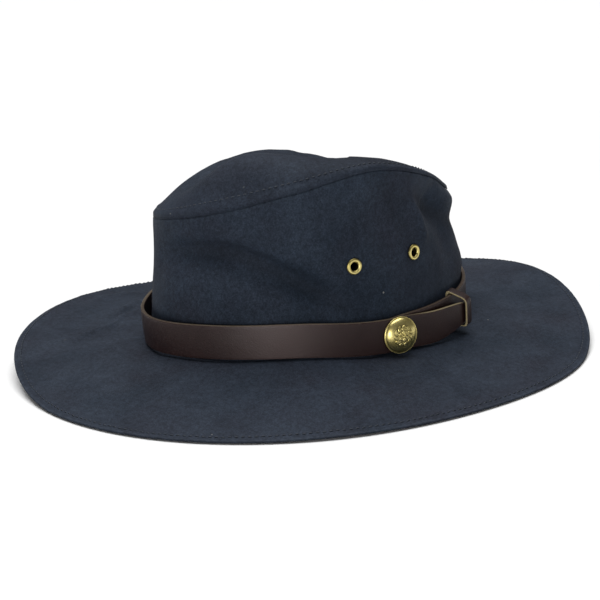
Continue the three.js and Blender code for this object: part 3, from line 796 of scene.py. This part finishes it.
def build_tip():
    reach = 1 - (1 - np.linspace(0.02, 1, TIP_ROWS)[None, :]) ** 1.35
    top, inward = tip_surface(reach)
    relief = tip_relief(inward, top)
    roll = np.clip(1 - inward / TIP_ROLL, 0, 1)
    edge_out = outward_at(ANGLES)
    top = top + normals(top, -1) * relief[..., None]
    top[..., 2] -= TIP_DROP * seam_height() * rounded_off(roll)
    top -= edge_out * (0.25 * seam_height() * roll**2)[..., None]
    shift = 0.8 * crease_push(wall_point(ANGLES, 1.0)) * bell(inward, SEAM_FADE)
    top -= edge_out * shift[..., None]
    under = (tip_point(ANGLES, reach) - edge_out * shift[..., None])[:, ::-5] - [0, 0, GAP]
    section = np.concatenate([top, under], 1)
    rows = section.shape[1]
    faces, _ = ring_faces(TURNS, rows, False)
    flat = section.reshape(-1, 3)
    count = len(flat)
    middles = section[:, [0, -1]].mean(0)
    ring = np.arange(TURNS) * rows
    ahead = np.roll(ring, -1)
    top_fan = np.stack([np.full(TURNS, count), ring, ahead], -1)
    low_fan = np.stack([np.full(TURNS, count + 1), ahead + rows - 1, ring + rows - 1], -1)
    # A painted highlight along the seam's band, and painted shade on a patch of the top near its
    # edge on the wearer's right.
    wear_and_painted_light = bell(inward - 1.0, 0.9) * 0.4 * seam_height() ** 2
    wear_and_painted_light = wear_and_painted_light - 0.26 * bell(ANGLES - PAINTED_SHADE_ANGLE, 42) * bell(inward - 8, 14)
    wear_and_painted_light = np.concatenate([wear_and_painted_light, np.zeros((TURNS, under.shape[1]))], 1)
    values = {"wear_and_painted_light": np.concatenate([wear_and_painted_light.ravel(), [0, 0]])}
    points = np.concatenate([flat, middles])
    faces = [*faces.tolist(), *top_fan.tolist(), *low_fan.tolist()]
    add_piece("crown_top", points, faces, CLOTH_FLAT, values, stands_for=["crown_tip"])
    return top, normals(top, -1), inward


def brim_relief(level, outward, points):
    """Relief of the brim's upper side: topstitching near the edge, puckers and soft wrinkles."""
    under_strap = smooth((ANGLES - 85) / 20) * smooth((178 - ANGLES) / 20)
    rise = FOOT_RISE * under_strap * bell(level * BRIM_WIDTH, 8)
    groove = -0.3 * bell(outward - BRIM_STITCH, 0.6)
    pucker = ring_relief("brim_pucker", ANGLES, outward) * bell(outward - BRIM_STITCH, 4.5)
    radial = ring_relief("brim_radial", ANGLES, outward)
    wrinkled = 0.25 + 2.2 * bell(ANGLES - WRINKLED_ANGLE, 26)
    wrinkles = blobs(points, BRIM_BLOBS) + radial * wrinkled
    wrinkles += BRIM_WRINKLE * flat_lines(points, BRIM_LINES)
    return rise + groove + pucker + wrinkles * smooth(outward / BRIM_FADE)


def build_brim():
    levels = 1 - (1 - np.linspace(0, 1, BRIM_ROWS)[None, :]) ** 1.5
    under = brim_point(ANGLES, levels)
    outward = (1 - levels) * BRIM_WIDTH * (1 + around(ANGLES, "wide"))
    top = under + [0, 0, BRIM_THICKNESS]
    relief = brim_relief(levels, outward, top)
    face = normals(top, -1)
    sheet_relief = blobs(top, BRIM_BLOBS[:1]) * smooth(outward / BRIM_FADE)
    top = top + face * relief[..., None]
    under = under + face * sheet_relief[..., None] * 0.6
    under[..., 2] = np.maximum(under[..., 2], 0)
    thinner = BRIM_THINNER * bell(outward, 2.2)
    top[..., 2] -= thinner
    under[..., 2] += thinner
    half = BRIM_THICKNESS / 2 - BRIM_THINNER
    middle = (top[:, -1:] + under[:, -1:]) / 2
    upright = (top[:, -1:] - under[:, -1:]) / 2
    turns = np.radians(np.linspace(90, -90, 11)[1:-1])[None, :, None]
    out = outward_at(ANGLES, 2 * BRIM_WIDTH)
    edge = middle + upright * np.sin(turns) + out * (0.75 * half) * np.cos(turns)
    section = np.concatenate([top, edge, under[:, ::-3]], 1)
    faces, _ = ring_faces(TURNS, section.shape[1], True)
    # Rubbed wear along the edge's top; painted shade on its turned-down side and on the underside
    # near the edge.
    wear_and_painted_light = bell(outward, 0.9) * 0.45
    edge_wear_and_painted_shade = np.broadcast_to(np.linspace(0.3, -1, edge.shape[1]), (TURNS, edge.shape[1]))
    wear_and_painted_light = np.concatenate([wear_and_painted_light, edge_wear_and_painted_shade, -bell(outward, 3)[:, ::-3]], 1)
    add_piece("brim_cloth", section, faces, CLOTH_FLAT, {"wear_and_painted_light": wear_and_painted_light}, None, ["brim"])
    return top, face, outward


def stitch_row(name, line, up):
    """Stitches along a closed line of points, each a short thread that dives into the cloth."""
    line = np.concatenate([line, line[:1]])
    up = np.concatenate([up, up[:1]])
    run = np.concatenate([[0], np.cumsum(np.linalg.norm(np.diff(line, axis=0), axis=1))])
    count = int(round(run[-1] / STITCH_PITCH))
    centres = (np.arange(count) + 0.5) * run[-1] / count

    def at(distance, array):
        return np.stack([np.interp(distance % run[-1], run, column) for column in array.T], -1)

    rings = np.linspace(-1, 1, 7)
    sides = np.radians(np.arange(6) * 60)[:, None]
    along = centres[:, None] + rings[None, :] * STITCH_LENGTH / 2
    spine = at(along, line)
    spine_up = at(along, up)
    spine_up /= np.linalg.norm(spine_up, axis=-1, keepdims=True)
    side = np.cross(at(along + 0.2, line) - spine, spine_up)
    side /= np.linalg.norm(side, axis=-1, keepdims=True) + 1e-12
    height = THREAD_RADIUS * (1.3 - 2.6 * np.abs(rings) ** 3)
    spine = spine + spine_up * height[:, None]
    thick = THREAD_RADIUS * (1 - 0.55 * np.abs(rings) ** 4)[:, None, None]
    points = spine[:, :, None] + side[:, :, None] * (np.cos(sides) * thick * 1.15)
    points = points + spine_up[:, :, None] * (np.sin(sides) * thick)
    faces, _ = ring_faces(len(sides), len(rings), False)
    faces = faces % len(rings) * len(sides) + faces // len(rings)
    block = len(rings) * len(sides)
    faces = (faces[None] + block * np.arange(count)[:, None, None]).reshape(-1, 4)
    add_piece(name, points, faces, THREAD)


def line_at(surface, face, distance, wanted):
    """The closed line on a surface where the distance from its edge has the wanted value."""
    both = np.concatenate([surface, face], -1)
    found = []
    for row, away in zip(both, np.broadcast_to(distance, both.shape[:-1])):
        order = np.argsort(away)
        found.append([np.interp(wanted, away[order], column) for column in row[order].T])
    points, directions = np.split(np.array(found), 2, axis=1)
    return points, directions / np.linalg.norm(directions, axis=1, keepdims=True)


def strap_off(turn):
    """How far the strap's inner face is from the crown's foot; turn counts from the button."""
    room = POST_HEAD_THICKNESS + 2 * GAP
    off = np.maximum(STRAP_STAND_OFF * around(BUTTON_ANGLE + turn, "off"), room)
    over = (STRAP_THICKNESS + GAP) * smooth((turn - 360 + OVERLAP_LEAD) / OVERLAP_RISE)
    return off + over + TAIL_BOW * smooth((turn - 360 - BOW_LEAD) / KEEPER_TURN)


def strap_point(turn, out=0.0):
    """Middle of the strap's width on its inner face, and its outward direction."""
    turn = np.asarray(turn, float)
    angle = BUTTON_ANGLE + turn
    reach = 2 * (strap_off(turn) + out - tuck_at(angle))
    x, y, out_x, out_y = oval(angle, HEAD_LENGTH + reach, HEAD_WIDTH + reach)
    lift = STRAP_LIFT * around(angle, "lift") - TAIL_SAG * smooth((turn - 360) / SAG_TURN)
    z = foot_at(angle) + lift + STRAP_WIDTH / 2
    point = np.stack(np.broadcast_arrays(x, y, z), -1)
    return point, np.stack(np.broadcast_arrays(out_x, out_y, 0 * out_x), -1)


def pinched_at(turn):
    """How far the keeper gathers the strap's lower edge upward."""
    return STRAP_GATHER * bell((turn + 180) % 360 - 180 - KEEPER_TURN, 13)


def slab_section(width, thickness, corner, face_points):
    """Outline of a strap's section: outward, up its width, and the share of cut edge."""
    half = width / 2 - corner
    face = np.linspace(-half, half, face_points)
    arc = np.radians(np.linspace(0, 90, 5))
    early = arc[:-1]
    late = arc[1:]
    outline = [
        (thickness + 0 * face, face),
        (thickness - corner + corner * np.cos(late), half + corner * np.sin(late)),
        (corner - corner * np.sin(early), half + corner * np.cos(early)),
        (0 * face, -face),
        (corner - corner * np.cos(late), -half - corner * np.sin(late)),
        (thickness - corner + corner * np.sin(early), -half - corner * np.cos(early)),
    ]
    out, up = np.concatenate(outline, axis=1)
    cut = np.clip((np.abs(up) - half) / corner, 0, 1)
    return out, up, smooth((cut - 0.6) / 0.35)


def build_strap():
    reach_per_degree = HEAD_WIDTH * math.pi / 360
    straight = np.linspace(-STRAP_LEAD, STRAP_END - TAIL_END / reach_per_degree, 640 // COARSE)
    ending = STRAP_END - TAIL_END / reach_per_degree * (1 - np.linspace(0, 1, 48)[1:]) ** 1.8
    turns = np.concatenate([straight, ending])
    out, up, cut = slab_section(STRAP_WIDTH, STRAP_THICKNESS, STRAP_CORNER, 15)
    left = np.clip((STRAP_END - turns) * reach_per_degree / TAIL_END, 0, 1)
    narrow = TAIL_TIP + (1 - TAIL_TIP) * np.sqrt(1 - (1 - left) ** 2)
    narrow *= 1 - 0.08 * smooth((4 - turns) / 6)
    inner, direction = strap_point(turns)
    crown = 0.22 * (1 - (up / (STRAP_WIDTH / 2)) ** 2) * (out > STRAP_THICKNESS / 2)
    points = inner[:, None] + direction[:, None] * (out + crown)[None, :, None]
    points[..., 2] += up[None, :] * narrow[:, None]
    angles = turns + BUTTON_ANGLE
    rough = ring_relief("strap_rough", angles[:, None], up[None, :])
    lean = around(angles, "lean")[:, None] * up[None, :] / (STRAP_WIDTH / 2)
    points = points + direction[:, None] * (rough + STRAP_LEAN * lean)[..., None]
    points[..., 2] += ring_relief("strap_waver", angles, 0 * angles)[:, None]
    points[..., 2] += pinched_at(turns)[:, None] * (0.5 - up / STRAP_WIDTH)[None, :]
    rows = len(turns)
    columns = len(out)
    faces, _ = ring_faces(rows, columns, True)
    faces = faces[: (rows - 1) * columns]
    caps = [list(range(columns))[::-1], list(range((rows - 1) * columns, rows * columns))]
    ends = np.zeros(rows)
    ends[[0, -2, -1]] = 1
    # The pale cut edge shows most on the tail, and least beside the button and on the left, where it
    # is dimmed as painted shade
    cut_paleness_and_painted_shade = 0.18 + 0.42 * smooth((turns - 366) / 8) - 0.1 * smooth((turns - 2) / 8) * (turns < 60)
    cut_paleness_and_painted_shade -= 0.08 * smooth((turns - 230) / 20) * smooth((292 - turns) / 20)
    wear_and_painted_light = np.clip((np.abs(up) - STRAP_WIDTH / 2) / STRAP_WEAR + 1, 0, 1) ** 2
    # A painted highlight on the strap's face round its angle, past the first quarter turn.
    painted_highlight_share = bell(angles % 360 - PAINTED_HIGHLIGHT_ANGLE, 14) * (turns > 90)
    values = {
        "cut": np.maximum(np.broadcast_to(cut, (rows, columns)), ends[:, None]) * cut_paleness_and_painted_shade[:, None],
        "wear_and_painted_light": np.broadcast_to(wear_and_painted_light * 0.7, (rows, columns)),
        "painted_highlight": np.broadcast_to(0.75 * painted_highlight_share[:, None], (rows, columns)),
    }
    faces = [*faces.tolist(), *caps]
    add_piece("strap_leather", points, faces, LEATHER, values, stands_for=["hat_strap"])


def build_keeper():
    under, out = strap_point(KEEPER_TURN)
    over, _ = strap_point(360 + KEEPER_TURN, STRAP_THICKNESS)
    depth = (over - under) @ out + 2 * KEEPER_SLACK
    rise = STRAP_WIDTH + 2 * KEEPER_PLAY
    tilt = (over[2] - under[2]) / depth
    middle = under + out * (depth / 2 - KEEPER_SLACK)
    middle[2] = (under[2] + over[2]) / 2
    back = strap_point(KEEPER_TURN - 4)[0] - strap_point(KEEPER_TURN + 4)[0]
    back /= np.linalg.norm(back)
    up = np.cross(back, out)
    up /= np.linalg.norm(up)
    sideways = np.cross(up, back)
    extra, along, cut = slab_section(KEEPER_WIDTH, KEEPER_THICKNESS, KEEPER_EDGE, 7)
    spokes = 192
    turns = np.radians(np.arange(spokes) * 360 / spokes)[:, None]

    def rounded(value):
        return np.sign(value) * np.abs(value) ** KEEPER_CORNER

    x = (depth / 2 + extra[None, :]) * rounded(np.cos(turns))
    narrow = 1 - KEEPER_TAPER * (x / depth + 0.5)
    y = narrow * (rise / 2 + extra[None, :]) * rounded(np.sin(turns)) + tilt * x
    y = np.where(y < 0, y * (1 - STRAP_GATHER / rise * 2), y)
    points = middle + x[..., None] * sideways + y[..., None] * up + along[None, :, None] * back
    faces, _ = ring_faces(spokes, len(extra), True)
    wear_and_painted_light = np.clip((np.abs(along) - 2.2) / 1.3, 0, 1) * 0.8
    shape = (spokes, len(extra))
    values = {"cut": np.broadcast_to(cut, shape), "wear_and_painted_light": np.broadcast_to(wear_and_painted_light, shape)}
    parts = ["strap_keeper"]
    add_piece("keeper_leather", points, faces, LEATHER, values, stands_for=parts)


def placed(points, centre, out):
    """Points with local Z outward, X level and Y up, moved to a place on the hat."""
    out = np.asarray(out, float) / np.linalg.norm(out)
    level = np.cross([0, 0, 1.0], out)
    level /= np.linalg.norm(level)
    upward = np.cross(out, level)
    return centre + points @ np.stack([level, upward, out])


def petals(radius, turn, inner, outer, count):
    """Height of a ring of pointed petals, from 0 to 1."""
    along = np.clip((radius - inner) / (outer - inner), 0, 1)
    phase = turn / (2 * math.pi) * count % 1 - 0.5
    half_width = 0.46 * np.sqrt(np.clip(np.sin(math.pi * along**0.8), 0, 1))
    body = np.clip(1 - (phase / (half_width + 1e-6)) ** 2, 0, 1)
    vein = 1 - 0.35 * bell(phase, 1 / 9)
    return np.sqrt(body) * vein * (radius > inner) * (radius < outer)


def lathed(profile, turns):
    """A grid of points about local Z, from rows of radius and height."""
    radius, height = np.array(profile, float).T
    rings = [radius * np.cos(turns), radius * np.sin(turns), height + 0 * turns]
    return np.stack(rings, -1)


def button_motif(radius, turn):
    """Relief of the button's face from 0 to 1: a small flower in a ring of leaves."""
    flower = petals(radius, turn, 0.8, 3.4, 6)
    heart = np.sqrt(np.clip(1 - (radius / 0.9) ** 2, 0, 1))
    leaves = petals(radius, turn + radius * 0.1, 3.7, 6.2, 11)
    return np.maximum.reduce([flower, heart, leaves])


def build_button():
    under = strap_point(0.0)[0]
    seat, direction = strap_point(360.0, STRAP_THICKNESS)
    spokes = 288
    spoke_turns = np.radians(np.arange(spokes) * 360 / spokes)[:, None]
    full = BUTTON_DIAMETER / 2
    inner = full - BUTTON_EDGE
    flat = np.linspace(0.15, inner, 100 // COARSE)
    bend = inner + BUTTON_EDGE * np.sin(np.radians(np.linspace(0, 90, 9)[1:]))
    radius, turn = np.broadcast_arrays(np.concatenate([flat, bend])[None, :], spoke_turns)
    dome_radius = full * 0.94
    dome = np.sqrt(np.clip(1 - (radius / dome_radius) ** 2, 0, 1)) ** 1.25
    height = BUTTON_RIM * 0.6 + (BUTTON_RISE - BUTTON_RIM * 0.6) * dome
    rim = np.sqrt(np.clip(1 - (np.maximum(radius - inner, 0) / BUTTON_EDGE) ** 2, 0, 1))
    rim = rim * smooth((radius - dome_radius + 0.5) / 0.3) * BUTTON_RIM * 0.8
    motif = button_motif(radius, turn)
    relief = BUTTON_RELIEF * motif
    lean = 0.4 * np.clip(radius / dome_radius, 0, 1) ** 2
    height = BUTTON_NECK + np.maximum(height, rim) + relief * (1 - lean)
    reach = radius + relief * lean
    points = np.stack([reach * np.cos(turn), reach * np.sin(turn), height], -1)
    back = lathed([(full, BUTTON_NECK), (2.0, BUTTON_NECK)], spoke_turns)
    face = np.concatenate([points, back], 1)
    columns = face.shape[1]
    faces, _ = ring_faces(spokes, columns, False)
    cap = list(range(0, spokes * columns, columns))
    through = np.linalg.norm(seat - under) + GAP
    head = through + POST_HEAD_THICKNESS
    profile = [(0.05, BUTTON_NECK + 0.6), (2.0, BUTTON_NECK + 0.6), (2.0, -through)]
    profile += [(4.0, -through), (4.0, -head), (0.05, -head)]
    post = lathed(profile, spoke_turns).reshape(-1, 3)
    post_faces = ring_faces(spokes, len(profile), False)[0] + spokes * columns
    patina_and_painted_shade = smooth((0.4 - motif) / 0.4) * smooth((6.8 - radius) / 0.8) * 0.5
    patina_and_painted_shade = np.maximum(patina_and_painted_shade, bell(radius - dome_radius, 0.25) * 0.4)
    patina_and_painted_shade = np.concatenate([patina_and_painted_shade, np.zeros((spokes, 2))], 1)
    turned = Matrix.Rotation(math.radians(-BUTTON_TURN), 3, "Y")
    turned = turned @ Matrix.Rotation(math.radians(-BUTTON_NOD), 3, "X")
    face = face.reshape(-1, 3) @ np.array(turned).T
    points = placed(np.concatenate([face, post]), seat, direction)
    faces = [*faces.tolist(), cap, *post_faces.tolist()]
    values = {"patina_and_painted_shade": np.concatenate([patina_and_painted_shade.ravel(), np.zeros(len(post))])}
    add_piece("button_brass", points, faces, BUTTON_BRASS, values, stands_for=["button"])


def build_eyelets():
    bore = EYELET_HOLE / 2
    full = EYELET_DIAMETER / 2 - EYELET_TRIM
    middle = (bore + full) / 2
    half = (full - bore) / 2
    profile = [(bore, -CLOTH - EYELET_SEAT - 0.3), (bore, -0.2)]
    for turn in np.radians(np.linspace(180, -20, 17)):
        height = EYELET_SEAT + EYELET_RISE * np.sin(turn)
        profile.append((middle + half * np.cos(turn), max(height, EYELET_SEAT * 0.4)))
    profile += [(full - 0.25, 0.1), (bore + 0.5, 0.1), (bore + 0.5, -CLOTH - 0.3)]
    profile += [(full - 0.8, -CLOTH - 0.35), (full - 0.8, -CLOTH - 0.75), (bore, -CLOTH - 0.75)]
    profile = np.array(profile)
    section = lathed(profile, np.radians(np.arange(72) * 5)[:, None])
    faces, _ = ring_faces(72, len(profile), True)
    # Painted shade on the flange's outer edge where it meets the cloth; the bore and the back are
    # darker too.
    painted_edge_shade = smooth((profile[:, 0] - full + 0.9) / 0.8) * 0.7
    patina_and_painted_shade = np.maximum((profile[:, 1] < 0.2) * 0.8, painted_edge_shade)
    patina_and_painted_shade = np.broadcast_to(patina_and_painted_shade, (72, len(profile)))
    for name in EYELETS:
        points = placed(section.reshape(-1, 3), *eyelet_frame(name))
        values = {"patina_and_painted_shade": patina_and_painted_shade}
        add_piece(name + "_brass", points, faces, BRASS, values, stands_for=[name])


build_wall()
tip_top, tip_face, tip_inward = build_tip()
brim_top, brim_face, brim_outward = build_brim()
line, up = line_at(tip_top, tip_face, tip_inward, TIP_STITCH)
line = line - up * STITCH_SINK * (1 - seam_height())
stitch_row("top_stitches", line, up)
line, up = line_at(brim_top, brim_face, brim_outward, BRIM_STITCH)
stitch_row("brim_stitches", line, up)
build_strap()
build_keeper()
build_button()
build_eyelets()


# Floor, light and camera
def add_floor():
    mesh = bpy.data.meshes.new("floor")
    corners = [(-6, -6, 0), (6, -6, 0), (6, 6, 0), (-6, 6, 0)]
    mesh.from_pydata(corners, [], [(0, 1, 2, 3)])
    s = Shader("floor_white")
    s.finish(Base_Color=(0.9, 0.9, 0.9, 1.0), Roughness=0.9, Specular_IOR_Level=0.1)
    mesh.materials.append(s.material)
    floor = add_object("floor", mesh)


IMAGE_PIXELS = 600
SENSOR_WIDTH = 36
VIEW_AZIMUTH = -123.198
VIEW_ELEVATION = 16.440
VIEW_ROLL = -2.626
VIEW_DISTANCE = 1025.2
VIEW_RIGHT = -2.820
VIEW_UP = 6.339
VIEW_BASE = 21.310
FOCAL_PIXELS = 1651.6


def towards(azimuth, elevation):
    """Direction from the hat; azimuth counts from the camera's side, to its left."""
    angle = math.radians(VIEW_AZIMUTH - azimuth)
    rise = math.radians(elevation)
    level = math.cos(rise)
    return Vector((math.sin(angle) * level, -math.cos(angle) * level, math.sin(rise)))


def add_camera():
    back = towards(0, VIEW_ELEVATION)
    roll = math.radians(VIEW_ROLL)
    level = (-back).cross(Vector((0, 0, 1))).normalized()
    upright = level.cross(-back)
    right = level * math.cos(roll) + upright * math.sin(roll)
    up = upright * math.cos(roll) - level * math.sin(roll)
    place = back * VIEW_DISTANCE + right * VIEW_RIGHT + up * VIEW_UP + Vector((0, 0, VIEW_BASE))
    camera = bpy.data.cameras.new("camera")
    camera.sensor_width = SENSOR_WIDTH
    camera.lens = FOCAL_PIXELS / IMAGE_PIXELS * SENSOR_WIDTH
    camera.clip_end = 50
    seen = add_object("camera", camera)
    turned = Matrix((right, up, back)).transposed().to_4x4()
    seen.matrix_world = Matrix.Translation(place * MM) @ turned
    bpy.context.scene.camera = seen


def add_light(name, kind, direction, **settings):
    light = bpy.data.lights.new(name, kind)
    for key, value in settings.items():
        setattr(light, key, value)
    lamp = add_object(name, light)
    lamp.rotation_euler = direction.to_track_quat("Z", "Y").to_euler()
    return lamp


def add_lights():
    """A very large soft box far overhead and a small low one near the camera."""
    add_light("key", "SUN", towards(170, 78), angle=math.radians(60), energy=3.3)
    direction = towards(12, 5)
    front = add_light("front", "AREA", direction, shape="SQUARE", size=0.45, energy=7.5)
    front.location = direction * 1.6 + Vector((0, 0, 0.06))


def add_world():
    world = bpy.data.worlds.new("studio")
    world.use_nodes = True
    background = world.node_tree.nodes["Background"].inputs
    background["Color"].default_value = (1, 1, 1, 1)
    background["Strength"].default_value = 0.12
    bpy.context.scene.world = world


add_floor()
add_camera()
add_world()
add_lights()
bpy.context.scene.view_settings.view_transform = "Standard"
